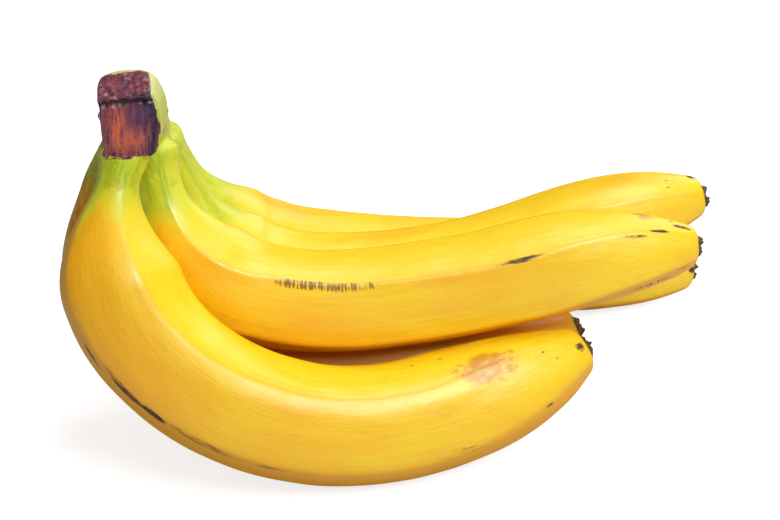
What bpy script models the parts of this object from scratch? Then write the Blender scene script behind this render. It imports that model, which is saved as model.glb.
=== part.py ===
"""Bunch of five bananas on a cut piece of crown, lying on its lower row. Metres, +Z up, +X towards the tips."""

import bmesh
import bpy
import numpy as np
from mathutils import Vector

MM = 0.001
BUNCH = "banana_bunch"

# Where each finger leaves the crown, and how it runs from there. root is the centre of the neck inside the crown,
# and neck and girth are the diameters of the neck and the body, in mm. plan is the compass direction of the finger's
# bending plane, from +X towards +Y. lean tips that plane back from upright. sway is how far the direction drifts
# sideways from root to tip. climb is the slope of the centre line, in degrees above the horizontal, at the STATIONS
# along the finger: -90 is straight down. roll turns the five ridges about the centre line.
STATIONS = (0.0, 0.15, 0.32, 0.50, 0.75, 1.0)
FINGERS = {
    "front_lower": dict(
        root=(-78.0, -35.4, 106.2), length=208.5, neck=11.8, girth=37.5, plan=14, lean=22, sway=-1, roll=12,
        climb=(-110, -103, -54, -25, 10, 24)),
    "rear_lower": dict(
        root=(-82.5, -17.0, 90.8), length=203.5, neck=10.4, girth=32.4, plan=4, lean=4, sway=2, roll=24,
        climb=(-141, -81, -48, -5, 5, 21)),
    "front_upper": dict(
        root=(-74.8, -23.0, 96.4), length=195.0, neck=12.8, girth=32.4, plan=3, lean=10, sway=2, roll=25,
        climb=(-83, -71, -12, 6, 14, 0)),
    "middle_upper": dict(
        root=(-75.5, -5.7, 88.1), length=205.0, neck=11.0, girth=32.8, plan=8, lean=-6, sway=-1, roll=28,
        climb=(-59, -76, -11, 3, 22, 10)),
    "rear_upper": dict(
        root=(-77.7, 15.7, 81.4), length=217.0, neck=12.2, girth=33.9, plan=9, lean=-21, sway=-4, roll=40,
        climb=(-61, -71, -18, -8, -5, -6)),
}

# How a finger's radius runs, as shares of its length, its body's radius and the powers of its curves.
NECK_END = 0.08
SHOULDER_END = 0.24
TAPER_START = 0.71
TAPER_POWER = 2.8
TIP_RADIUS = 0.35
RIDGES = 5
RIDGE_DEPTH = 0.07

# Smoothness of the loft: samples along the centre line, how many of them each bend is spread over, rings and sides.
SAMPLES = 81
BEND_BLEND = 19
RINGS = 37
SIDES = 20

# The crown is a bar of stem tissue from front to back, knife-cut at its front end and along its top. Each section
# is (y, centre x, centre z, width, height) in mm.
CROWN_SECTIONS = (
    (-44.3, -77.3, 107.2, 16.5, 20.0),
    (-32.3, -77.9, 107.2, 17.5, 23.0),
    (-20.3, -78.6, 100.7, 18.0, 24.0),
    (-8.3, -79.7, 92.2, 17.5, 20.0),
    (5.2, -80.1, 86.0, 15.5, 16.0),
    (21.7, -79.7, 81.8, 13.0, 14.6),
)
CROWN_SIDES = 24
CROWN_SQUARENESS = 3.2
UNDERSIDE_POINT = (0.0, -44.3, 98.0)
UNDERSIDE_SLOPE = -0.30

BLOSSOM_LENGTH = 2.5
BLOSSOM_END_RADIUS = 0.62
GAP = 0.3

PEEL = (0.86, 0.60, 0.07)
DRIED = (0.10, 0.06, 0.04)


def clear_scene():
    for obj in list(bpy.data.objects):
        bpy.data.objects.remove(obj)


def material(name, colour, roughness):
    made = bpy.data.materials.new(name)
    made.use_nodes = True
    shader = made.node_tree.nodes["Principled BSDF"]
    shader.inputs["Base Color"].default_value = (*colour, 1.0)
    shader.inputs["Roughness"].default_value = roughness
    return made


def blended(values):
    """Values averaged along the finger with a bell-shaped weight, straight past both ends."""
    weight = np.hanning(BEND_BLEND)
    reach = BEND_BLEND // 2
    before = 2 * values[0] - values[reach:0:-1]
    after = 2 * values[-1] - values[-2:-reach - 2:-1]
    return np.convolve(np.concatenate([before, values, after]), weight / weight.sum(), "valid")


def radius_along(finger, share):
    """Radius at each share of the finger's length: neck, shoulder, body, then a taper to the blunt tip."""
    rise = np.clip((share - NECK_END) / (SHOULDER_END - NECK_END), 0, 1)
    fall = np.clip((share - TAPER_START) / (1 - TAPER_START), 0, 1)
    swell = finger["neck"] + (finger["girth"] - finger["neck"]) * rise * rise * (3 - 2 * rise)
    return swell / 2 * (1 - (1 - TIP_RADIUS) * fall**TAPER_POWER)


def centre_line(finger):
    """Points, tangents, inner normals and side normals along a finger, with the radius at each, in mm."""
    share = np.linspace(0, 1, SAMPLES)
    climb = np.radians(blended(np.interp(share, STATIONS, finger["climb"])))
    plan = np.radians(finger["plan"] + finger["sway"] * (share - 0.4))
    lean = np.radians(finger["lean"])
    ahead = np.stack([np.cos(plan), np.sin(plan), 0 * plan], axis=1)
    across = np.stack([-np.sin(plan), np.cos(plan), 0 * plan], axis=1)
    up = np.array([0, 0, 1])
    rising = np.cos(lean) * up + np.sin(lean) * across
    along, over = np.cos(climb)[:, None], np.sin(climb)[:, None]
    tangent = along * ahead + over * rising
    inner = along * rising - over * ahead
    side = np.cos(lean) * across - np.sin(lean) * up
    stride = (tangent[1:] + tangent[:-1]) / 2 * finger["length"] / (SAMPLES - 1)
    points = np.vstack([np.zeros(3), np.cumsum(stride, axis=0)]) + finger["root"]
    return points, tangent, inner, side, radius_along(finger, share)


def add_ring(bm, centre, first, second, radii):
    """A closed loop of edges: radii are read at equal angles from the first direction towards the second."""
    turns = np.linspace(0, 2 * np.pi, len(radii), endpoint=False)
    spokes = np.cos(turns)[:, None] * first + np.sin(turns)[:, None] * second
    corners = [bm.verts.new(p) for p in (centre + radii[:, None] * spokes) * MM]
    return [bm.edges.new((a, b)) for a, b in zip(corners, corners[1:] + corners[:1])]


def lofted(bm, rings):
    """Skins the space between neighbouring rings and closes both ends."""
    for here, there in zip(rings, rings[1:]):
        bmesh.ops.bridge_loops(bm, edges=here + there)
    for ring in (rings[0], rings[-1]):
        bmesh.ops.contextual_create(bm, geom=ring)
    bmesh.ops.recalc_face_normals(bm, faces=bm.faces)


def trimmed(bm, point, outward):
    """Cuts away all that lies beyond a plane and closes the cut with one flat face."""
    geometry = bm.verts[:] + bm.edges[:] + bm.faces[:]
    cut = bmesh.ops.bisect_plane(
        bm, geom=geometry, plane_co=Vector(point) * MM, plane_no=Vector(outward).normalized(), clear_outer=True)
    rim = [edge for edge in cut["geom_cut"] if isinstance(edge, bmesh.types.BMEdge)]
    if rim:
        bmesh.ops.contextual_create(bm, geom=rim)


def finish(bm, name, skin, collection):
    bmesh.ops.remove_doubles(bm, verts=bm.verts, dist=0.00001)
    bmesh.ops.triangulate(bm, faces=[face for face in bm.faces if len(face.verts) > 4])
    bmesh.ops.recalc_face_normals(bm, faces=bm.faces)
    mesh = bpy.data.meshes.new(name)
    bm.to_mesh(mesh)
    bm.free()
    mesh.shade_smooth()
    mesh.set_sharp_from_angle(angle=0.7)
    mesh.materials.append(skin)
    obj = bpy.data.objects.new(name, mesh)
    collection.objects.link(obj)


def build_finger(name, finger, collection):
    """One banana: neck, shoulder and body in a single five-ridged skin, flat where it presses on the table."""
    points, _, inner, side, radius = centre_line(finger)
    turns = np.linspace(0, 2 * np.pi, SIDES, endpoint=False)
    ridges = np.cos(RIDGES * (turns - np.radians(finger["roll"])))
    bm = bmesh.new()
    rings = []
    for k in np.linspace(0, SAMPLES - 1, RINGS).round().astype(int):
        depth = RIDGE_DEPTH * min(1.0, radius[k] / radius.max())
        rings.append(add_ring(bm, points[k], inner[k], side[k], radius[k] * (1 - depth * (1 - ridges) / 2)))
    lofted(bm, rings)
    trimmed(bm, (0, 0, 0), (0, 0, -1))
    x, y, z = UNDERSIDE_POINT
    trimmed(bm, (x, y, z - GAP), (0, -UNDERSIDE_SLOPE, 1))
    finish(bm, "banana_" + name, material("peel_" + name, PEEL, 0.4), collection)


def build_blossom_end(name, finger, collection):
    """The dried flower remains: a short stub that narrows away from the banana's blunt tip."""
    points, tangent, inner, side, radius = centre_line(finger)
    base = 0.9 * radius[-1]
    bm = bmesh.new()
    rings = []
    for ahead, share in ((GAP, 1.0), (GAP + 0.6 * BLOSSOM_LENGTH, 0.9), (GAP + BLOSSOM_LENGTH, BLOSSOM_END_RADIUS)):
        centre = points[-1] + ahead * tangent[-1]
        rings.append(add_ring(bm, centre, inner[-1], side[-1], np.full(SIDES, base * share)))
    lofted(bm, rings)
    finish(bm, "blossom_end_" + name, material("blossom_" + name, DRIED, 0.85), collection)


def build_crown(collection):
    """The crown: rounded-square sections from the cut front end to the small rear end, with a flat underside."""
    turns = np.linspace(0, 2 * np.pi, CROWN_SIDES, endpoint=False)
    square = (np.abs(np.cos(turns))**CROWN_SQUARENESS + np.abs(np.sin(turns))**CROWN_SQUARENESS)
    unit = square**(-1 / CROWN_SQUARENESS)
    bm = bmesh.new()
    rings = []
    for y, x, z, width, height in CROWN_SECTIONS:
        across = np.array([width / 2, 0, 0])
        upward = np.array([0, 0, height / 2])
        rings.append(add_ring(bm, np.array([x, y, z]), across, upward, unit))
    lofted(bm, rings)
    trimmed(bm, UNDERSIDE_POINT, (0, UNDERSIDE_SLOPE, -1))
    finish(bm, "crown", material("crown", DRIED, 0.6), collection)


clear_scene()
bunch = bpy.data.collections.new(BUNCH)
bpy.context.scene.collection.children.link(bunch)
build_crown(bunch)
for finger_name, finger_shape in FINGERS.items():
    build_finger(finger_name, finger_shape, bunch)
    build_blossom_end(finger_name, finger_shape, bunch)
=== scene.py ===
import math

import bmesh
import bpy
import numpy as np
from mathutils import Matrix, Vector, noise


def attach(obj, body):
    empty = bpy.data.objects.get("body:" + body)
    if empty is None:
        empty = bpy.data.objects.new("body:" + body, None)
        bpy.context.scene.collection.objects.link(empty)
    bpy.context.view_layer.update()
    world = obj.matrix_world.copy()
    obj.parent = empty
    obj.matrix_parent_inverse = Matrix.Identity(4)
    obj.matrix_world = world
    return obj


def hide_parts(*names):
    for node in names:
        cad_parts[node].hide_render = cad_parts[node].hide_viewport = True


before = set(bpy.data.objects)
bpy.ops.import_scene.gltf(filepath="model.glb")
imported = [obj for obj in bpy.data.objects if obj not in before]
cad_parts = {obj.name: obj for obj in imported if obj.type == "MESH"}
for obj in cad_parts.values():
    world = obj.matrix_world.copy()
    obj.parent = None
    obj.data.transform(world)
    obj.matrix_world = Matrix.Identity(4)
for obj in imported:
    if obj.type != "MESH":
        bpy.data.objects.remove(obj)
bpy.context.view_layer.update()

# ----------------------------------------------------------------------------------------------------
# The bananas. Each finger grew as one piece: a thin neck, a shoulder, a five-ridged body and a blunt tip. The
# peel is waxy and yellow, still green at the neck, with brown bruises where ridges rubbed and small spots.
# ----------------------------------------------------------------------------------------------------
MM = 0.001

# root is the centre of the neck inside the crown, in mm; neck and girth are diameters; plan, lean and sway
# set the bending plane; climb is the slope of the centre line at the STATIONS; roll turns the ridges, and twist
# turns them further at each station, in degrees. crisp is how flat the peel is between ridges. painted_light is
# how much painted light its upper side gets against amber painted shade below; rear_lower, lying in shade, gets
# less. green is the share of the length where the green ends. lobe is a swelling: share, turn, height, half
# length, half angle.
STATIONS = (0.0, 0.15, 0.32, 0.50, 0.75, 1.0)
FINGERS = {
    "front_lower": dict(
        root=(-78.0, -35.4, 106.2), length=208.5, neck=11.8, girth=37.5, plan=14, lean=22, sway=-1, roll=12,
        climb=(-110, -103, -54, -25, 10, 24), twist=(-25, -20, -9, -1, 3, 18),
        crisp=0.55, painted_light=1.0, green=0.165, lobe=(0, 0, 0.0, 1, 1)),
    "rear_lower": dict(
        root=(-82.5, -17.0, 90.8), length=203.5, neck=10.4, girth=32.4, plan=4, lean=4, sway=2, roll=24,
        climb=(-141, -81, -48, -5, 5, 21), twist=(-12, -8, 0, 0, 3, 5),
        crisp=0.6, painted_light=0.5, green=0.08, lobe=(0, 0, 0.0, 1, 1)),
    "front_upper": dict(
        root=(-74.8, -23.0, 96.4), length=195.0, neck=12.8, girth=32.4, plan=3, lean=10, sway=2, roll=25,
        climb=(-83, -71, -12, 6, 14, 0), twist=(-43, -28, -5, -9, -13, 5),
        crisp=1.0, painted_light=1.0, green=0.18, lobe=(0.085, 185, 2.2, 16, 55)),
    "middle_upper": dict(
        root=(-75.5, -5.7, 88.1), length=205.0, neck=11.0, girth=32.8, plan=8, lean=-6, sway=-1, roll=28,
        climb=(-59, -76, -11, 3, 22, 10), twist=(-20, -12, -4, 0, 8, 0),
        crisp=1.0, painted_light=1.0, green=0.3, lobe=(0, 0, 0.0, 1, 1)),
    "rear_upper": dict(
        root=(-77.7, 15.7, 81.4), length=217.0, neck=12.2, girth=33.9, plan=9, lean=-21, sway=-4, roll=40,
        climb=(-61, -71, -18, -8, -5, -6), twist=(-12, -8, 0, 2, 4, 4),
        crisp=0.9, painted_light=1.0, green=0.28, lobe=(0, 0, 0.0, 1, 1)),
}
NECK_END = 0.08
SHOULDER_END = 0.24
TAPER_START = 0.71
TAPER_POWER = 2.8
TIP_RADIUS = 0.35
RIDGES = 5
CROWN_FRONT = -44.3
CROWN_BOTTOM = 98.0
CROWN_BOTTOM_SLOPE = -0.30
RIDGE_DEPTH = 0.085
CREST_HEIGHT = 0.018
CREST_WIDTH = 6.0
BEND_SAMPLES = 81
BEND_BLEND = 19
ROWS_ALONG = 320
ROWS_ROUND = 150
END_STARTS = 0.985
END_BLUNTNESS = 3.5
BODY_ROWS = 0.95
RIDGE_ROUNDING = 1.8
UNEVENNESS = 0.006
DIMPLE_HEIGHT = 0.28
HIDDEN_NECK = 1.5
FIRST_SEED = 1.0
SEED_STEP = 1.7
GRAIN_SHIFT = 300.0


def blended(values):
    """Values averaged along the finger with a bell-shaped weight, straight past both ends."""
    weight = np.hanning(BEND_BLEND)
    reach = BEND_BLEND // 2
    before = 2 * values[0] - values[reach:0:-1]
    after = 2 * values[-1] - values[-2:-reach - 2:-1]
    return np.convolve(np.concatenate([before, values, after]), weight / weight.sum(), "valid")


def centre_line(finger):
    """Fine table along a finger: share, points, tangents, inner normals and side normals, in mm."""
    coarse = np.linspace(0, 1, BEND_SAMPLES)
    share = np.linspace(0, 1, 10 * (BEND_SAMPLES - 1) + 1)
    climb = np.radians(np.interp(share, coarse, blended(np.interp(coarse, STATIONS, finger["climb"]))))
    plan = np.radians(finger["plan"] + finger["sway"] * (share - 0.4))
    lean = np.radians(finger["lean"])
    ahead = np.stack([np.cos(plan), np.sin(plan), 0 * plan], axis=1)
    across = np.stack([-np.sin(plan), np.cos(plan), 0 * plan], axis=1)
    up = np.array([0, 0, 1])
    rising = np.cos(lean) * up + np.sin(lean) * across
    along, over = np.cos(climb)[:, None], np.sin(climb)[:, None]
    tangent = along * ahead + over * rising
    inner = along * rising - over * ahead
    side = np.cos(lean) * across - np.sin(lean) * up
    stride = (tangent[1:] + tangent[:-1]) / 2 * finger["length"] / (len(share) - 1)
    points = np.vstack([np.zeros(3), np.cumsum(stride, axis=0)]) + finger["root"]
    return share, points, tangent, inner, side


def radius_along(finger, share):
    """Radius at each share of the finger's length: neck, shoulder, body, then a taper to the blunt tip."""
    rise = np.clip((share - NECK_END) / (SHOULDER_END - NECK_END), 0, 1)
    fall = np.clip((share - TAPER_START) / (1 - TAPER_START), 0, 1)
    swell = finger["neck"] + (finger["girth"] - finger["neck"]) * rise * rise * (3 - 2 * rise)
    return swell / 2 * (1 - (1 - TIP_RADIUS) * fall**TAPER_POWER)


def place_on(finger, share, turn, radius):
    """Points at a radius in mm from the centre line, for arrays of share and turn."""
    table, points, tangent, inner, side = centre_line(finger)
    look = lambda values: np.stack([np.interp(share, table, values[:, k]) for k in range(3)], axis=1)
    spoke = np.cos(turn)[:, None] * look(inner) + np.sin(turn)[:, None] * look(side)
    return look(points) + radius[:, None] * spoke


def rolled_sheet(bm, rows_along, rows_round):
    """A flat grid over the unit square, to be rolled up: its vertices and their two coordinates."""
    made = bmesh.ops.create_grid(bm, x_segments=rows_along, y_segments=rows_round, size=0.5)
    flat = np.array([vert.co[:2] for vert in made["verts"]]) + 0.5
    return made["verts"], flat[:, 0], flat[:, 1] * 2 * np.pi


def turn_from_ridge(finger, share, turn):
    return turn - np.radians(finger["roll"] + np.interp(share, STATIONS, finger["twist"]))


def finger_radius(finger, share, turn, seed):
    """The peel's radius: five ridges with a narrow crest each, and the slow unevenness of a grown fruit."""
    full = radius_along(finger, share)
    stout = np.minimum(1.0, full / (finger["girth"] / 2))
    facet = turn_from_ridge(finger, share, turn)
    off_ridge = np.degrees(np.abs((facet * RIDGES + np.pi) % (2 * np.pi) - np.pi)) / RIDGES
    wave = (1 - np.cos(RIDGES * facet)) / 2
    flank = np.pi / RIDGES - np.hypot(np.radians(off_ridge), np.radians(RIDGE_ROUNDING))
    flat = (1 - np.cos(np.pi / RIDGES) / np.cos(flank)) / (1 - np.cos(np.pi / RIDGES))
    hollow = RIDGE_DEPTH * stout * (wave + (flat - wave) * finger["crisp"])
    crest = CREST_HEIGHT * finger["crisp"]**2 * stout * np.exp(-(off_ridge / CREST_WIDTH)**2)
    along_it = UNEVENNESS * np.sin(2 * np.pi * share * 2.1 + 2 * seed)
    uneven = along_it + UNEVENNESS * np.sin(turn + 7 * share + seed)
    where, angle, height, half_length, half_angle = finger["lobe"]
    apart = (np.degrees(turn) - angle + 180) % 360 - 180
    lobe = height * np.exp(-((share - where) * finger["length"] / half_length)**2 - (apart / half_angle)**2)
    return full * (1 - hollow + crest - CREST_HEIGHT + uneven * stout) + lobe, off_ridge


def painted_lighting(finger, share, turn):
    """Painted light and shade on the peel: painted light on its upper sides, amber painted shade underneath,
    stepping at the ridges like lit and shaded facets.
    """
    facet = turn_from_ridge(finger, share, turn)
    across = (facet % (2 * np.pi / RIDGES)) - np.pi / RIDGES
    off_ridge = 180 / RIDGES - np.degrees(np.abs(across))
    tone = turn - 0.75 * finger["crisp"] * across * smooth_step(off_ridge, 0, 6)
    upper = np.maximum(np.cos(tone + np.radians(30)), 0.85 * np.cos(tone - np.radians(75)))
    return finger["painted_light"] * (0.5 + 0.5 * upper)


def leaving_share(finger):
    """The share of a finger's length at which its neck comes out of the crown's underside."""
    share, points, _, _, _ = centre_line(finger)
    return share[np.argmax(points[:, 2] < CROWN_BOTTOM + CROWN_BOTTOM_SLOPE * (points[:, 1] - CROWN_FRONT))]


def smooth_step(values, low, high):
    share = np.clip((values - low) / (high - low), 0, 1)
    return share * share * (3 - 2 * share)


def roughness_at(place, scale, octaves=4):
    """Fractal unevenness, about -1 to 1, at places in mm that are first scaled along each axis."""
    scaled = place * np.array(scale)
    return np.clip([noise.fractal(Vector(point), 1.0, 2.0, octaves) for point in scaled], -1, 1)


def new_object(name, bm, material):
    """The finished bmesh as a smooth-shaded object at the origin."""
    bmesh.ops.recalc_face_normals(bm, faces=bm.faces)
    mesh = bpy.data.meshes.new(name)
    bm.to_mesh(mesh)
    bm.free()
    mesh.shade_smooth()
    mesh.materials.append(material)
    obj = bpy.data.objects.new(name, mesh)
    bpy.context.scene.collection.objects.link(obj)
    return obj


def connect(tree, socket, value):
    """Links the value if it comes from another node, and otherwise sets it on the socket."""
    if isinstance(value, bpy.types.NodeSocket):
        tree.links.new(value, socket)
    else:
        socket.default_value = value


def add_node(tree, kind, sockets, **settings):
    """A shader node with its settings made and its sockets set or linked."""
    made = tree.nodes.new("ShaderNode" + kind)
    for key, value in settings.items():
        setattr(made, key, value)
    for key, value in sockets.items():
        connect(tree, made.inputs[key], value)
    return made


def reckon(tree, operation, *values):
    return add_node(tree, "Math", dict(enumerate(values)), operation=operation).outputs[0]


def ramp(tree, factor, low, high):
    """0 below low, 1 above high, smooth between them."""
    sockets = {0: factor, 1: low, 2: high}
    return add_node(tree, "MapRange", sockets, interpolation_type="SMOOTHSTEP").outputs[0]


def mixed(tree, factor, first, second):
    """The first colour at 0, the second at 1."""
    return add_node(tree, "Mix", {0: factor, 6: first, 7: second}, data_type="RGBA").outputs[2]


def value_of(tree, label):
    return add_node(tree, "Attribute", {}, attribute_name=label).outputs["Fac"]


def colour(red, green, blue):
    """A colour as seen on a screen, 0 to 255, made linear."""
    return (*[((part / 255 + 0.055) / 1.055)**2.4 for part in (red, green, blue)], 1.0)


def new_group(name, inputs, outputs):
    tree = bpy.data.node_groups.new(name, "ShaderNodeTree")
    for label, kind in inputs.items():
        tree.interface.new_socket(name=label, in_out="INPUT", socket_type="NodeSocket" + kind)
    for label, kind in outputs.items():
        tree.interface.new_socket(name=label, in_out="OUTPUT", socket_type="NodeSocket" + kind)
    return tree, tree.nodes.new("NodeGroupInput").outputs, tree.nodes.new("NodeGroupOutput").inputs


def use_group(tree, group, sockets):
    made = tree.nodes.new("ShaderNodeGroup")
    made.node_tree = group
    for key, value in sockets.items():
        connect(tree, made.inputs[key], value)
    return made.outputs


def stretched(tree, place, scale):
    return add_node(tree, "VectorMath", {0: place, 1: scale}, operation="MULTIPLY").outputs[0]


def grain(tree, place, scale, detail=4.0, roughness=0.55):
    """Noise whose grain is one over scale, in mm, along each axis."""
    place = stretched(tree, place, scale)
    sockets = {"Vector": place, "Scale": 1.0, "Detail": detail, "Roughness": roughness}
    return add_node(tree, "TexNoise", sockets).outputs[0]


# Fibres: fine and broad lines that run along a neck or finger, in a place given in mm, first along it.
fibre_group, given, out = new_group("fibre_lines", {"Place": "Vector"}, {"Fine": "Float", "Broad": "Float"})
fibre_group.links.new(grain(fibre_group, given["Place"], (0.035, 1.3, 1.3), 3.0), out["Fine"])
fibre_group.links.new(grain(fibre_group, given["Place"], (0.012, 0.16, 0.16), 2.0), out["Broad"])

# Flecks: small spots and short dashes, one to a cell, present only where their number is under the density.
fleck_group, given, out = new_group("flecks", {"Place": "Vector", "Density": "Float"}, {"Mask": "Float"})
cells = add_node(fleck_group, "TexVoronoi", {
    "Vector": stretched(fleck_group, given["Place"], (0.30, 0.62, 0.62)), "Scale": 1.0, "Randomness": 1.0})
number = add_node(fleck_group, "SeparateColor", {0: cells.outputs["Color"]}).outputs[0]
spot_size = reckon(fleck_group, "MULTIPLY", reckon(fleck_group, "SUBTRACT", given["Density"], number), 0.6)
fleck_group.links.new(ramp(fleck_group, reckon(fleck_group, "SUBTRACT", spot_size, cells.outputs["Distance"]),
                           0.0, 0.08), out["Mask"])

# Peel colour: amber painted shade to yellow painted light, with fibre lines and freckles, and green where it is
# still unripe.
peel_group, given, out = new_group(
    "peel_colour", {"Place": "Vector", "PaintedLight": "Float", "Ridge": "Float", "Green": "Float"},
    {"Color": "Color", "Lines": "Float", "Fine": "Float"})
fibre = use_group(peel_group, fibre_group, {"Place": given["Place"]})
cloud = grain(peel_group, given["Place"], (0.022, 0.05, 0.05), 2.0)
fine = grain(peel_group, given["Place"], (0.35, 0.8, 0.8), 5.0, 0.65)
wander = reckon(peel_group, "MULTIPLY", reckon(peel_group, "SUBTRACT", cloud, 0.5), 1.0)
# Painted shade and light: amber on the peel's shaded undersides, sunny yellow on its lit upper sides.
painted_lit = ramp(peel_group, reckon(peel_group, "ADD", given["PaintedLight"], wander), 0.38, 1.02)
body = mixed(peel_group, painted_lit, colour(250, 180, 0), colour(255, 217, 26))
body = mixed(peel_group, reckon(peel_group, "MULTIPLY", given["Ridge"], 0.25), body, colour(240, 172, 10))
lines = ramp(peel_group, fibre["Fine"], 0.42, 0.72)
body = mixed(peel_group, reckon(peel_group, "MULTIPLY", lines, 0.20), body, colour(238, 160, 0))
freckles = ramp(peel_group, fine, 0.56, 0.74)
body = mixed(peel_group, reckon(peel_group, "MULTIPLY", freckles, 0.24), body, colour(222, 146, 4))
fine_lines = ramp(peel_group, fibre["Fine"], 0.30, 0.70)
young = mixed(peel_group, fine_lines, colour(156, 184, 8), colour(198, 214, 40))
young = mixed(peel_group, ramp(peel_group, fibre["Broad"], 0.35, 0.7), young, colour(218, 222, 62))
wander = reckon(peel_group, "MULTIPLY", reckon(peel_group, "SUBTRACT", fibre["Broad"], 0.5), 0.6)
greenness = ramp(peel_group, reckon(peel_group, "ADD", given["Green"], wander), 0.06, 0.86)
half_ripe = mixed(peel_group, ramp(peel_group, greenness, 0.0, 0.55), body, colour(232, 216, 30))
unripe = ramp(peel_group, greenness, 0.35, 1.0)
peel_group.links.new(mixed(peel_group, unripe, half_ripe, young), out["Color"])
peel_group.links.new(fibre["Fine"], out["Lines"])
peel_group.links.new(fine, out["Fine"])


def peel_material(name, shift):
    """Waxy peel: green neck, yellow body, fibre lines, flecks, bruises and the brown rim of the tip."""
    made = bpy.data.materials.new(name)
    made.use_nodes = True
    tree = made.node_tree
    shader = tree.nodes["Principled BSDF"]
    along = add_node(tree, "Attribute", {}, attribute_name="along").outputs["Vector"]
    place = add_node(tree, "VectorMath", {0: along, 1: (shift, 0.0, 0.0)}, operation="ADD").outputs[0]
    peel = use_group(tree, peel_group, {
        "Place": place, "PaintedLight": value_of(tree, "painted_light"), "Ridge": value_of(tree, "ridge"),
        "Green": value_of(tree, "green")})
    body, fine = peel["Color"], peel["Fine"]

    worn = grain(tree, place, (0.28, 0.36, 0.36), 6.0, 0.75)
    rubbed = reckon(tree, "ADD", reckon(tree, "MULTIPLY", value_of(tree, "scuff"), 0.55), worn)
    scuff = ramp(tree, rubbed, 0.84, 1.12)
    body = mixed(tree, reckon(tree, "MULTIPLY", scuff, 0.75), body, colour(196, 108, 0))
    spots = use_group(tree, fleck_group, {"Place": place, "Density": value_of(tree, "fleck")})["Mask"]
    body = mixed(tree, reckon(tree, "MULTIPLY", spots, 0.85), body, colour(98, 58, 12))
    scratch = grain(tree, place, (1.6, 0.16, 0.16), 3.0, 0.6)
    hatch = ramp(tree, reckon(tree, "ADD", reckon(tree, "MULTIPLY", value_of(tree, "hatch"), 0.62), scratch),
                 1.01, 1.18)
    body = mixed(tree, reckon(tree, "MULTIPLY", hatch, 0.85), body, colour(110, 66, 14))
    streak = grain(tree, place, (0.11, 0.75, 0.75), 6.0, 0.7)
    bruise = ramp(tree, reckon(tree, "ADD", reckon(tree, "MULTIPLY", value_of(tree, "bruise"), 0.8), streak),
                  0.94, 1.16)
    brown = mixed(tree, ramp(tree, fine, 0.35, 0.65), colour(36, 20, 6), colour(112, 66, 16))
    body = mixed(tree, bruise, body, brown)
    near_tip = reckon(tree, "ADD", value_of(tree, "tip"), reckon(tree, "MULTIPLY", fine, 0.9))
    rim_brown = mixed(tree, ramp(tree, streak, 0.4, 0.6), colour(104, 70, 16), colour(196, 156, 36))
    body = mixed(tree, ramp(tree, near_tip, 1.0, 1.3), body, rim_brown)
    tree.links.new(body, shader.inputs["Base Color"])

    rough = reckon(tree, "ADD", reckon(tree, "MULTIPLY", fine, 0.22), 0.34)
    rough = reckon(tree, "ADD", rough, reckon(tree, "MULTIPLY", bruise, 0.25))
    tree.links.new(rough, shader.inputs["Roughness"])
    height = reckon(tree, "MULTIPLY", peel["Lines"], 0.5)
    height = reckon(tree, "ADD", height, reckon(tree, "MULTIPLY", fine, 0.4))
    swell = grain(tree, place, (0.10, 0.16, 0.16), 2.0)
    height = reckon(tree, "ADD", height, reckon(tree, "MULTIPLY", swell, 1.4))
    height = reckon(tree, "SUBTRACT", height, reckon(tree, "MULTIPLY", bruise, 0.4))
    bump = add_node(tree, "Bump", {"Strength": 0.45, "Distance": 0.0005, "Height": height})
    tree.links.new(bump.outputs[0], shader.inputs["Normal"])
    facing = reckon(tree, "SUBTRACT", 1.0, add_node(tree, "LayerWeight", {"Blend": 0.5}).outputs["Facing"])
    tree.links.new(reckon(tree, "MULTIPLY", facing, 0.75), shader.inputs["Coat Weight"])
    tree.links.new(reckon(tree, "MULTIPLY", facing, 0.50), shader.inputs["Specular IOR Level"])
    shader.inputs["Coat Roughness"].default_value = 0.33
    shader.inputs["Subsurface Weight"].default_value = 0.05
    shader.inputs["Subsurface Radius"].default_value = (1.0, 0.45, 0.06)
    shader.inputs["Subsurface Scale"].default_value = 0.003
    return made


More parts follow.
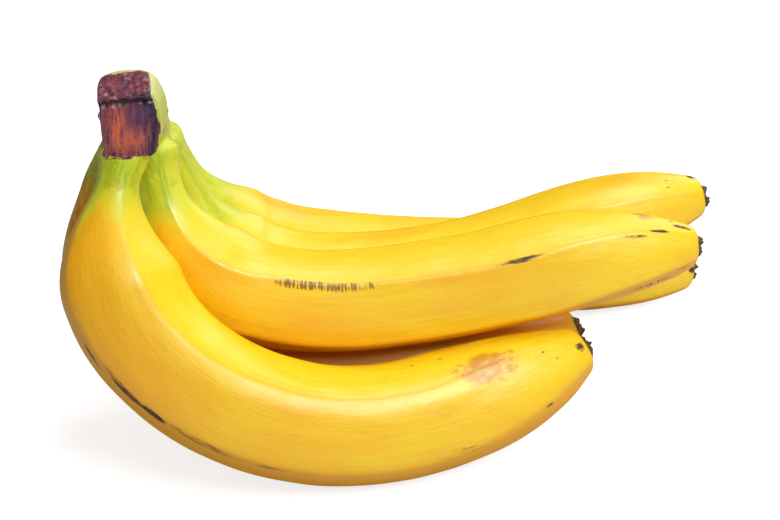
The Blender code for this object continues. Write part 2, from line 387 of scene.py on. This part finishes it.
# Where the peel is marked: kind, share of the length, turn in degrees, half length and width in mm, strength.
MARKS = {
    "front_lower": (
        ("bruise", 0.345, 218, 11, 1.7, 0.85), ("bruise", 0.290, 209, 5, 1.3, 0.7),
        ("bruise", 0.378, 220, 5, 1.5, 0.95),
        ("bruise", 0.445, 223, 14, 1.6, 0.70), ("bruise", 0.520, 226, 9, 1.4, 0.66),
        ("bruise", 0.768, 233, 9, 2.6, 0.62), ("bruise", 0.905, 238, 2, 1.2, 0.8),
        ("bruise", 0.450, 357, 4, 1.2, 0.7), ("scuff", 0.838, 309, 14, 7.5, 1.0),
        ("fleck", 0.745, 349, 15, 2.5, 0.75), ("fleck", 0.930, 305, 9, 9.0, 0.45),
        ("bruise", 0.984, 290, 2, 2.5, 0.8), ("fleck", 0.60, 290, 30, 9.0, 0.10)),
    # rear_lower's broad scuff over its shoulder is painted shade: a brown darkening where that shoulder lies in
    # shadow.
    "rear_lower": (("fleck", 0.90, 300, 12, 8.0, 0.4), ("scuff", 0.13, 225, 26, 11.0, 0.85)),
    "front_upper": (
        ("hatch", 0.380, 304, 16, 2.0, 1.0), ("hatch", 0.455, 302, 14, 2.0, 1.0),
        ("bruise", 0.723, 300, 11, 1.1, 0.8), ("bruise", 0.600, 308, 4, 0.9, 0.7),
        ("bruise", 0.895, 305, 6, 0.9, 0.75), ("bruise", 0.935, 314, 4, 0.9, 0.8),
        ("bruise", 0.972, 334, 4, 1.1, 0.85), ("scuff", 0.920, 357, 4, 4.0, 1.0),
        ("fleck", 0.945, 335, 8, 6.0, 0.5),
        ("hatch", 0.920, 222, 11, 1.8, 0.95), ("bruise", 0.965, 236, 4, 1.2, 0.7)),
    "middle_upper": (("fleck", 0.95, 330, 7, 6.0, 0.5), ("bruise", 0.985, 20, 2, 3.0, 0.8)),
    "rear_upper": (("fleck", 0.93, 320, 8, 7.0, 0.3), ("bruise", 0.990, 322, 2, 2.5, 0.9)),
}
KINDS = ("ridge", "green", "painted_light", "scuff", "fleck", "hatch", "bruise", "tip")


def greenness_of(finger, share, off_ridge):
    """1 at the top of the neck, 0 past the shoulder, reaching further along the ridges."""
    ends = finger["green"] * (1 + 0.15 * np.exp(-(off_ridge / 12)**2))
    return 1 - np.clip((share - 0.06) / (ends - 0.06), 0, 1)


def banana(name, finger, seed):
    bm = bmesh.new()
    layers = {label: bm.verts.layers.float.new(label) for label in KINDS}
    along = bm.verts.layers.float_vector.new("along")
    verts, lengthwise, turn = rolled_sheet(bm, ROWS_ALONG, ROWS_ROUND)
    corner = np.clip((lengthwise - BODY_ROWS) / (1 - BODY_ROWS), 0, 1) * np.pi / 2
    power = 2 / END_BLUNTNESS
    begins = leaving_share(finger) + HIDDEN_NECK / finger["length"]
    share = np.where(corner > 0, END_STARTS + (1 - END_STARTS) * np.sin(corner)**power,
                     begins + lengthwise / BODY_ROWS * (END_STARTS - begins))
    radius, off_ridge = finger_radius(finger, share, turn, seed)
    radius = radius * np.clip(np.cos(corner), 0, 1)**power
    around = np.stack([share * finger["length"] * 0.5, radius * np.cos(turn), radius * np.sin(turn)], axis=1)
    dimples = DIMPLE_HEIGHT * roughness_at(around + 50 * seed, (0.10, 0.12, 0.12), 2)
    radius = radius + dimples * smooth_step(share, 0.1, 0.3)
    place = place_on(finger, share, turn, radius)
    ridge = np.exp(-(off_ridge / 5)**2) * smooth_step(share, 0.10, 0.26) * smooth_step(share, 1.0, 0.9)
    values = {label: np.zeros(len(share)) for label in KINDS}
    values["ridge"] = ridge
    values["green"] = greenness_of(finger, share, off_ridge)
    values["painted_light"] = painted_lighting(finger, share, turn)
    values["fleck"] = np.full(len(share), 0.03)
    values["bruise"] = 0.30 * ridge
    values["tip"] = smooth_step(corner, 0.35, 0.9)
    for kind, where, angle, half_length, half_width, strength in MARKS[name]:
        apart = (turn - np.radians(angle) + np.pi) % (2 * np.pi) - np.pi
        reach = ((share - where) * finger["length"] / half_length)**2 + (apart * radius / half_width)**2
        values[kind] = np.maximum(values[kind], strength * np.exp(-reach**2))
    for k, vert in enumerate(verts):
        vert.co = Vector(place[k]) * MM
        first, second = radius[k] * math.cos(turn[k]), radius[k] * math.sin(turn[k])
        vert[along] = (share[k] * finger["length"], first, second)
        for label, layer in layers.items():
            vert[layer] = float(values[label][k])
    bmesh.ops.remove_doubles(bm, verts=bm.verts, dist=1e-6)
    bmesh.ops.holes_fill(bm, edges=[edge for edge in bm.edges if edge.is_boundary])
    for vert in bm.verts:
        vert.co.z = max(vert.co.z, 0.0)
    piece = new_object("peel_" + name, bm, peel_material("peel_" + name, GRAIN_SHIFT * seed))
    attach(piece, "root")
    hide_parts("banana_" + name)


for count, (finger_name, finger_shape) in enumerate(FINGERS.items()):
    banana(finger_name, finger_shape, FIRST_SEED + SEED_STEP * count)

# ----------------------------------------------------------------------------------------------------
# The crown. A bar of stem tissue that the fingers grew from, cut with a knife at its front end and along its
# top. The cuts have dried dark, purple-brown and glossy, with orange-red fibres. Green skin runs from it into
# the necks.
# ----------------------------------------------------------------------------------------------------
CROWN_SECTIONS = (
    (-46.5, -77.3, 107.2, 16.5, 20.6),
    (-32.3, -77.9, 107.6, 17.5, 23.6),
    (-20.3, -78.6, 101.2, 18.0, 24.0),
    (-8.3, -79.7, 93.2, 17.5, 20.0),
    (5.2, -80.1, 87.0, 15.5, 16.0),
    (20.9, -79.7, 82.8, 11.0, 12.0),
)
CROWN_SIDES = 32
CROWN_SQUARENESS = 3.0
UNDERSIDE = ((0.0, CROWN_FRONT, CROWN_BOTTOM), (0.0, CROWN_BOTTOM_SLOPE, -1.0))
FRONT_CUT = ((-77.3, -44.2, 106.0), (0.04, -1.0, 0.05))
TOP_CUT = ((-78.6, -44.3, 115.1), (-0.15, -0.27, 1.0))
SLEEVE_LENGTH = 18.0
SLEEVE_START = 0.5
SLEEVE_END = -0.3
FLARE = 1.1
FLARE_REACH = 4.0
VOXEL = 0.45
SMOOTHINGS = 5
LEFT_SPREAD = 2.4


def unit(vector):
    return np.array(vector) / np.linalg.norm(vector)


def closed_off(bm):
    bmesh.ops.remove_doubles(bm, verts=bm.verts, dist=1e-6)
    bmesh.ops.holes_fill(bm, edges=[edge for edge in bm.edges if edge.is_boundary])


def crown_bar(bm):
    """The bar itself: rounded-square sections skinned together and trimmed along the underside."""
    rings = []
    for y, x, z, width, height in CROWN_SECTIONS:
        ring = bmesh.ops.create_circle(bm, segments=CROWN_SIDES, radius=1.0)["verts"]
        for vert in ring:
            across, upward, _ = vert.co
            full = (abs(across)**CROWN_SQUARENESS + abs(upward)**CROWN_SQUARENESS)**(-1 / CROWN_SQUARENESS)
            vert.co = Vector((x + full * across * width / 2, y, z + full * upward * height / 2)) * MM
        rings.append(list({edge for vert in ring for edge in vert.link_edges}))
    for here, there in zip(rings, rings[1:]):
        bmesh.ops.bridge_loops(bm, edges=here + there)
    closed_off(bm)
    point, outward = UNDERSIDE
    geometry = bm.verts[:] + bm.edges[:] + bm.faces[:]
    bmesh.ops.bisect_plane(
        bm, geom=geometry, plane_co=Vector(point) * MM, plane_no=Vector(outward), clear_outer=True)
    closed_off(bm)


def neck_sleeve(bm, finger, seed):
    """Skin that flares out of the crown and closes down on a neck, ending just inside the neck's own peel."""
    leaves = leaving_share(finger)
    verts, lengthwise, turn = rolled_sheet(bm, 30, 40)
    below = SLEEVE_LENGTH * (1.4 * lengthwise - 0.4)
    here = leaves + below / finger["length"]
    easing = np.clip(below / SLEEVE_LENGTH, 0, 1)
    flare = FLARE * np.exp(-(np.maximum(below, 0) / FLARE_REACH)**2)
    offset = SLEEVE_START + (SLEEVE_END - SLEEVE_START) * easing + flare
    radius = (finger_radius(finger, here, turn, seed)[0] + offset) * (1 - 0.7 * smooth_step(-below, 0, 6))
    place = place_on(finger, here, turn, radius)
    for k, vert in enumerate(verts):
        vert.co = Vector(place[k]) * MM
    closed_off(bm)


def welded(name, bm, voxel):
    """The overlapping shells of a bmesh as one skin of even quads."""
    raw = new_object(name, bm, None)
    weld = raw.modifiers.new("weld", "REMESH")
    weld.mode = "VOXEL"
    weld.voxel_size = voxel * MM
    skin = bpy.data.meshes.new_from_object(raw.evaluated_get(bpy.context.evaluated_depsgraph_get()))
    bpy.data.objects.remove(raw)
    whole = bmesh.new()
    whole.from_mesh(skin)
    bpy.data.meshes.remove(skin)
    return whole


def cut_back(place, cut, spared):
    """Moves what lies beyond a cut back onto its plane, and says how far beyond each point was."""
    point, outward = np.array(cut[0]), unit(cut[1])
    beyond = (place - point) @ outward - spared
    return place - np.maximum(beyond, 0)[:, None] * outward, beyond, outward


def on_finger(place):
    """For places near the necks: the nearest finger's green, its painted light and shade, and the place along
    it in mm.
    """
    nearest = np.full(len(place), np.inf)
    found = {"green": np.zeros(len(place)), "painted_light": np.zeros(len(place))}
    found["along"] = np.zeros((len(place), 3))
    for number, finger in enumerate(FINGERS.values()):
        share, points, _, inner, side = [values[:200] for values in centre_line(finger)]
        apart = np.linalg.norm(place[:, None] - points[None], axis=2)
        row = apart.argmin(axis=1)
        gap = apart.min(axis=1) - radius_along(finger, share[row])
        closer = gap < nearest
        nearest[closer] = gap[closer]
        offset = place - points[row]
        first, second = (offset * inner[row]).sum(axis=1), (offset * side[row]).sum(axis=1)
        turn = np.arctan2(second, first)
        off_ridge = finger_radius(finger, share[row], turn, 0.0)[1]
        shift = GRAIN_SHIFT * (FIRST_SEED + SEED_STEP * number)
        line = np.stack([share[row] * finger["length"] + shift, first, second], axis=1)
        found["along"][closer] = line[closer]
        found["green"][closer] = greenness_of(finger, share[row], off_ridge)[closer]
        found["painted_light"][closer] = painted_lighting(finger, share[row], turn)[closer]
    return found


bm = bmesh.new()
crown_bar(bm)
for count, finger_shape in enumerate(FINGERS.values()):
    neck_sleeve(bm, finger_shape, FIRST_SEED + SEED_STEP * count)
bm = welded("crown_raw", bm, VOXEL)
for _ in range(SMOOTHINGS):
    bmesh.ops.smooth_vert(bm, verts=bm.verts, factor=0.5, use_axis_x=True, use_axis_y=True, use_axis_z=True)
place = np.array([vert.co for vert in bm.verts]) / MM
high_left = smooth_step(place[:, 2], 110, 117) * smooth_step(-place[:, 0], 77, 86)
flare_left = high_left * smooth_step(-place[:, 1], 24, 36)
place[:, 0] -= LEFT_SPREAD * flare_left
ragged = roughness_at(place, (0.5, 0.2, 0.5))
below_cut = smooth_step(98.2 + 0.2 * ragged - place[:, 2], 0.0, 2.0)
place, beyond_front, front_normal = cut_back(place, FRONT_CUT, 12.0 * below_cut)
place, beyond_top, top_normal = cut_back(place, TOP_CUT, 0.0)
x, y, z = place.T
right_edge = np.interp(z, (96, 98, 103, 107, 116), (-74, -71, -69.3, -69.0, -71.6)) + 0.5 * ragged
front = smooth_step(beyond_front, -0.5, -0.05) * smooth_step(right_edge - x, -0.4, 0.4)
back_edge = -32.5 + 0.9 * ragged
top = smooth_step(beyond_top, -0.7, -0.1) * smooth_step(back_edge - y, -0.5, 0.5)
top = top * smooth_step(right_edge + 0.3 - x, -0.4, 0.4)
cut = np.maximum(front, top)
rim = np.exp(-((right_edge - x - 1.1) / 1.1)**2) * smooth_step(-y, 42.4, 43.4)
# A groove under the overhang of the top cut, also coloured near-black there as a painted shadow.
ledge_and_painted_shadow = np.exp(-((z - 113.4 - 0.9 * ragged - 0.12 * (x + 78)) / 0.7)**2)
lip = smooth_step(z, 113.8, 114.8)
stripe = np.exp(-((x + 81.2 + 0.5 * ragged) / 1.9)**2) * smooth_step(z, 98, 101) * smooth_step(-z, -113, -109)
glow = 0.75 * np.exp(-((x + 77.5 + 1.5 * ragged) / 4.0)**2 - ((z - 102.0) / 3.5)**2)
dusk = 0.8 * smooth_step(x, -80, -75) * smooth_step(z, 104, 108)
threads = roughness_at(place, (0.9, 0.2, 0.10), 5)
pits = roughness_at(place, (0.8, 0.8, 0.8), 3)
relief = 0.35 * threads + 0.25 * pits + 0.5 * stripe - 1.0 * ledge_and_painted_shadow + 0.7 * lip + 0.55 * rim
place += (front * relief)[:, None] * front_normal
place += (top * (0.7 * roughness_at(place, (0.35, 0.35, 0.35)) + 0.2 * pits))[:, None] * top_normal
spike = np.exp(-((x + 83.8) / 0.7)**2)
hanging = front * smooth_step(-z, -101, -98)
place[:, 2] -= hanging * (0.7 * np.abs(roughness_at(place, (0.45, 0.1, 0.1))) + 1.2 * spike)
for knot_x, knot_y, knot_z in ((-86.0, -42.5, 109.0), (-69.0, -28.0, 105.5)):
    near = np.exp(-((x - knot_x)**2 + (y - knot_y)**2 + (z - knot_z)**2) / 1.6)
    place[:, 0] += np.sign(knot_x + 78) * 0.9 * near
    cut = np.maximum(cut, 0.8 * near)
place += 0.10 * (1 - cut)[:, None] * np.stack([pits, pits, 0 * pits], axis=1)
scar = np.exp(-((z - 100.0 - 0.45 * (x + 71) + 0.4 * ragged) / 0.8)**2) * smooth_step(x, -73, -71)
scar = scar * smooth_step(-y, 24, 30) * (1 - front)
skin = on_finger(place)
crown_values = {
    "green": skin["green"], "painted_light": skin["painted_light"],
    "cut": cut, "rim": rim * front, "warm": np.maximum(stripe, glow), "dusk": dusk * front, "scar": scar,
    "ledge_and_painted_shadow": ledge_and_painted_shadow * front,
    "bar": smooth_step(z - CROWN_BOTTOM - CROWN_BOTTOM_SLOPE * (y - CROWN_FRONT), 0.0, 5.0)}
layers = {label: bm.verts.layers.float.new(label) for label in crown_values}
along = bm.verts.layers.float_vector.new("along")
for k, vert in enumerate(bm.verts):
    vert.co = Vector(place[k]) * MM
    vert[along] = skin["along"][k]
    for label, layer in layers.items():
        vert[layer] = float(crown_values[label][k])

crown_material = bpy.data.materials.new("crown_skin")
crown_material.use_nodes = True
tree = crown_material.node_tree
shader = tree.nodes["Principled BSDF"]
here = stretched(tree, add_node(tree, "TexCoord", {}).outputs["Object"], (1000.0, 1000.0, 1000.0))
order = add_node(tree, "SeparateXYZ", {0: here}).outputs
upright = add_node(tree, "CombineXYZ", {0: order[2], 1: order[0], 2: order[1]}).outputs[0]
neck = use_group(tree, peel_group, {
    "Place": add_node(tree, "Attribute", {}, attribute_name="along").outputs["Vector"],
    "PaintedLight": value_of(tree, "painted_light"), "Green": value_of(tree, "green")})
fine = grain(tree, here, (0.9, 0.9, 0.9), 5.0, 0.65)
patch = grain(tree, here, (0.18, 0.18, 0.18), 3.0)
skin = mixed(tree, value_of(tree, "bar"), neck["Color"], colour(196, 200, 44))
skin = mixed(tree, ramp(tree, order[2], 102.0, 107.0), skin, colour(190, 200, 54))
skin = mixed(tree, ramp(tree, order[2], 108.0, 116.0), skin, colour(206, 210, 124))
skin = mixed(tree, reckon(tree, "MULTIPLY", ramp(tree, patch, 0.5, 0.75), 0.35), skin, colour(170, 140, 40))
skin = mixed(tree, reckon(tree, "MULTIPLY", value_of(tree, "scar"), 0.9), skin, colour(104, 50, 26))
strand = grain(tree, upright, (0.10, 1.1, 0.6), 5.0, 0.7)
tissue = mixed(tree, ramp(tree, strand, 0.36, 0.62), colour(70, 32, 72), colour(156, 70, 68))
tissue = mixed(tree, ramp(tree, fine, 0.54, 0.70), tissue, colour(178, 84, 66))
warmth = reckon(tree, "MULTIPLY", value_of(tree, "warm"), ramp(tree, strand, 0.3, 0.6))
tissue = mixed(tree, warmth, tissue, colour(232, 108, 56))
tissue = mixed(tree, value_of(tree, "dusk"), tissue, colour(88, 38, 78))
tissue = mixed(tree, value_of(tree, "rim"), tissue, colour(44, 24, 58))
# Painted shadow: near-black along the groove under the top cut's overhang.
tissue = mixed(tree, value_of(tree, "ledge_and_painted_shadow"), tissue, colour(20, 10, 16))
fray = reckon(tree, "MULTIPLY", reckon(tree, "SUBTRACT", fine, 0.5), 0.5)
cut_mask = ramp(tree, reckon(tree, "ADD", value_of(tree, "cut"), fray), 0.4, 0.6)
tree.links.new(mixed(tree, cut_mask, skin, tissue), shader.inputs["Base Color"])
tree.links.new(reckon(tree, "SUBTRACT", reckon(tree, "ADD", reckon(tree, "MULTIPLY", fine, 0.3), 0.26),
                      reckon(tree, "MULTIPLY", value_of(tree, "rim"), 0.15)), shader.inputs["Roughness"])
tree.links.new(reckon(tree, "MULTIPLY", cut_mask, 0.5), shader.inputs["Coat Weight"])
shader.inputs["Coat Roughness"].default_value = 0.18
shader.inputs["Coat Tint"].default_value = (0.86, 0.88, 1.0, 1.0)
bumps = reckon(tree, "ADD", reckon(tree, "MULTIPLY", strand, reckon(tree, "MULTIPLY", cut_mask, 1.6)), fine)
tree.links.new(add_node(tree, "Bump", {"Strength": 0.6, "Distance": 0.0004, "Height": bumps}).outputs[0],
               shader.inputs["Normal"])
crown = new_object("crown_skin", bm, crown_material)
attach(crown, "root")
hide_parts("crown")

# ----------------------------------------------------------------------------------------------------
# The blossom ends. What is left of each finger's flower: a short, dry, dark stub on the blunt tip. Each is a
# separate, corky tissue that stayed on the fruit and tore at its edge as it dried.
# ----------------------------------------------------------------------------------------------------
BLOSSOM_LENGTH = 2.5
BLOSSOM_WIDTH = 0.66
BLOSSOM_END_WIDTH = 0.42

dry_material = bpy.data.materials.new("dried_flower")
dry_material.use_nodes = True
tree = dry_material.node_tree
shader = tree.nodes["Principled BSDF"]
here = stretched(tree, add_node(tree, "TexCoord", {}).outputs["Object"], (1000.0, 1000.0, 1000.0))
crumb = grain(tree, here, (1.1, 1.1, 1.1), 5.0, 0.7)
tree.links.new(mixed(tree, ramp(tree, crumb, 0.35, 0.65), colour(44, 30, 12), colour(128, 92, 36)),
               shader.inputs["Base Color"])
tree.links.new(reckon(tree, "ADD", reckon(tree, "MULTIPLY", crumb, 0.4), 0.5), shader.inputs["Roughness"])
tree.links.new(add_node(tree, "Bump", {"Strength": 0.8, "Distance": 0.0005, "Height": crumb}).outputs[0],
               shader.inputs["Normal"])


def blossom_end(name, finger, seed):
    _, points, tangent, inner, side = centre_line(finger)
    tip_radius = radius_along(finger, np.array([1.0]))[0]
    bm = bmesh.new()
    verts, lengthwise, turn = rolled_sheet(bm, 24, 48)
    ring = np.stack([np.cos(turn), np.sin(turn), np.full(len(turn), 3.1 * seed)], axis=1)
    torn = 0.5 + 0.6 * np.clip(roughness_at(ring, (1.3, 1.3, 1.0)), -0.5, 0.6)
    wall = np.clip(lengthwise / 0.6, 0, 1)
    inward = np.clip((lengthwise - 0.6) / 0.4, 0, 1)
    ahead = -0.8 + (0.8 + BLOSSOM_LENGTH * torn) * wall - 1.2 * torn * smooth_step(inward, 0, 1)
    width = tip_radius * (BLOSSOM_WIDTH + (BLOSSOM_END_WIDTH - BLOSSOM_WIDTH) * wall**1.5) * (1 - inward)
    width = width * (1 + 0.16 * roughness_at(ring * 2.5 + ahead[:, None] * 0.4, (1, 1, 1)))
    spoke = np.cos(turn)[:, None] * inner[-1] + np.sin(turn)[:, None] * side[-1]
    place = points[-1] + ahead[:, None] * tangent[-1] + width[:, None] * spoke
    for k, vert in enumerate(verts):
        vert.co = Vector(place[k]) * MM
    closed_off(bm)
    piece = new_object("dried_blossom_" + name, bm, dry_material)
    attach(piece, "root")
    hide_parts("blossom_end_" + name)


for count, (finger_name, finger_shape) in enumerate(FINGERS.items()):
    blossom_end(finger_name, finger_shape, 1.0 + count)

# ----------------------------------------------------------------------------------------------------
# The studio. A plain white table in soft light: a large lamp in front and to the right, one above, a weak one
# behind, and pale walls all round. The table's glow and most of the walls' is only what the camera sees.
# ----------------------------------------------------------------------------------------------------
TABLE_RADIUS = 6.0
VIEW_HEIGHT_ANGLE = 24.0
VIEW_DISTANCE = 0.600
VIEW_CENTRE = Vector((-0.0050, -0.0083, 0.0497))
LENS = 90.0

bm = bmesh.new()
bmesh.ops.create_circle(bm, cap_ends=True, segments=96, radius=TABLE_RADIUS)
table_material = bpy.data.materials.new("white_table")
table_material.use_nodes = True
tree = table_material.node_tree
shader = tree.nodes["Principled BSDF"]
mottle = add_node(tree, "TexNoise", {"Scale": 30.0, "Detail": 2.0}).outputs[0]
tree.links.new(mixed(tree, mottle, colour(204, 204, 206), colour(210, 210, 213)), shader.inputs["Base Color"])
shader.inputs["Roughness"].default_value = 0.9
shader.inputs["Specular IOR Level"].default_value = 0.1
shader.inputs["Emission Color"].default_value = (0.985, 0.985, 1.0, 1.0)
seen = add_node(tree, "LightPath", {}).outputs["Is Camera Ray"]
tree.links.new(reckon(tree, "MULTIPLY", seen, 0.80), shader.inputs["Emission Strength"])
table = new_object("table", bm, table_material)


def soft_light(name, place, target, size, power):
    data = bpy.data.lights.new(name, "AREA")
    data.shape = "DISK"
    data.size = size
    data.energy = power
    lamp = bpy.data.objects.new(name, data)
    lamp.location = place
    lamp.rotation_euler = (Vector(target) - Vector(place)).to_track_quat("-Z", "Y").to_euler()
    bpy.context.scene.collection.objects.link(lamp)


soft_light("lamp_front", (0.38, -0.62, 0.80), (0, 0, 0.05), 0.62, 8.6)
soft_light("lamp_above", (0.15, 0.25, 0.95), (0, 0, 0.05), 0.50, 3.4)
soft_light("lamp_behind", (0.45, 0.75, 0.50), (0, 0, 0.05), 0.50, 2.0)

world = bpy.data.worlds.new("pale_walls")
world.use_nodes = True
tree = world.node_tree
tree.nodes["Background"].inputs["Color"].default_value = (1.0, 1.0, 1.0, 1.0)
seen = add_node(tree, "LightPath", {}).outputs["Is Camera Ray"]
bright = add_node(tree, "Math", {0: seen, 1: 0.78, 2: 0.15}, operation="MULTIPLY_ADD").outputs[0]
tree.links.new(bright, tree.nodes["Background"].inputs["Strength"])
bpy.context.scene.world = world

angle = math.radians(VIEW_HEIGHT_ANGLE)
towards = Vector((0, math.cos(angle), -math.sin(angle)))
camera_data = bpy.data.cameras.new("view")
camera_data.lens = LENS
camera_data.sensor_width = 36.0
camera_data.clip_start = 0.01
camera = bpy.data.objects.new("view", camera_data)
camera.location = VIEW_CENTRE - VIEW_DISTANCE * towards
camera.rotation_euler = towards.to_track_quat("-Z", "Y").to_euler()
bpy.context.scene.collection.objects.link(camera)
bpy.context.scene.camera = camera
bpy.context.scene.view_settings.view_transform = "Standard"
